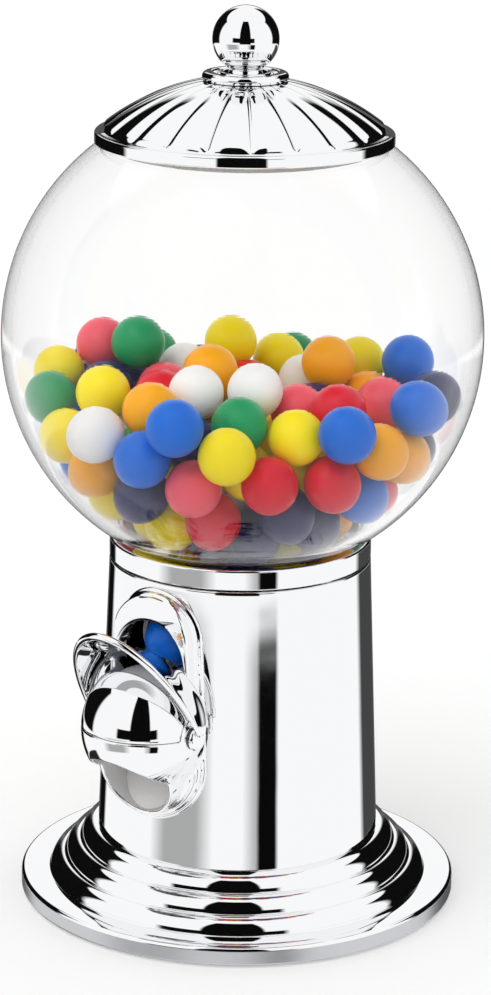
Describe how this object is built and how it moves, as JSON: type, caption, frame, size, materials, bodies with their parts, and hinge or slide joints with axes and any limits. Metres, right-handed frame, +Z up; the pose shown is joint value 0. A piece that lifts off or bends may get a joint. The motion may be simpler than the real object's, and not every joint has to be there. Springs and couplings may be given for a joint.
{
  "type": "gumball machine",
  "caption": "Small tabletop gumball machine: glass globe on a tapered chromed column, lift-off fluted lid and a spout with a sprung lever that turns a dispensing gate.",
  "frame": {"origin": "centre of the footprint, on the surface that the rubber feet stand on", "axes": "+Z up along the column's axis, -Y towards the spout, +X to the right of someone facing the back"},
  "size_m": [0.14, 0.14, 0.2658],
  "materials": {
    "chrome": "mirror-bright chrome plate on zinc casting and pressed steel",
    "steel": "zinc-plated steel",
    "glass": "clear blown glass",
    "plastic_grey": "moulded light-grey plastic",
    "rubber_black": "matt black rubber",
    "candy_yellow": "polished candy shell",
    "candy_white": "polished candy shell",
    "candy_green": "polished candy shell",
    "candy_pink": "polished candy shell",
    "candy_navy": "polished candy shell",
    "candy_orange": "polished candy shell",
    "candy_red": "polished candy shell",
    "candy_blue": "polished candy shell"
  },
  "bodies": {
    "frame": {"base_casting": "chrome", "base_plate": "steel", "rubber_feet": "rubber_black", "base_screws": "steel", "column_screws": "steel", "column_shell": "chrome", "collar_ring": "chrome", "collar_screws": "steel", "hopper": "plastic_grey", "globe_lock_ring": "plastic_grey", "globe_gasket": "rubber_black", "globe": "glass", "spout_body": "chrome", "spout_front_cover": "chrome", "spout_screws": "steel", "outlet_slide": "plastic_grey", "pivot_bushes": "steel", "return_spring": "steel", "gumballs_yellow": "candy_yellow", "gumballs_white": "candy_white", "gumballs_green": "candy_green", "gumballs_pink": "candy_pink", "gumballs_navy": "candy_navy", "gumballs_orange": "candy_orange", "gumballs_red": "candy_red", "gumballs_blue": "candy_blue"},
    "lever": {"lever": "chrome", "dispensing_gate": "plastic_grey", "pivot_pins": "steel"},
    "lid": {"lid_band": "chrome", "lid_dome": "chrome", "lid_liner": "plastic_grey", "lid_gasket": "rubber_black", "finial_disc": "chrome", "finial_knob": "chrome", "finial_stud": "steel", "finial_washer": "steel", "finial_nut": "steel"}
  },
  "joints": [
    {"name": "lever_press", "type": "hinge", "parent": "frame", "child": "lever", "pos_m": [0, -0.04398, 0.0625], "axis": [1, 0, 0], "range_deg": [0, 70], "stiffness_Nm_per_rad": 0.03, "springref_deg": -45.84},
    {"name": "lid_lift", "type": "slide", "parent": "frame", "child": "lid", "axis": [0, 0, 1], "range_m": [0, 0.04]}
  ]
}
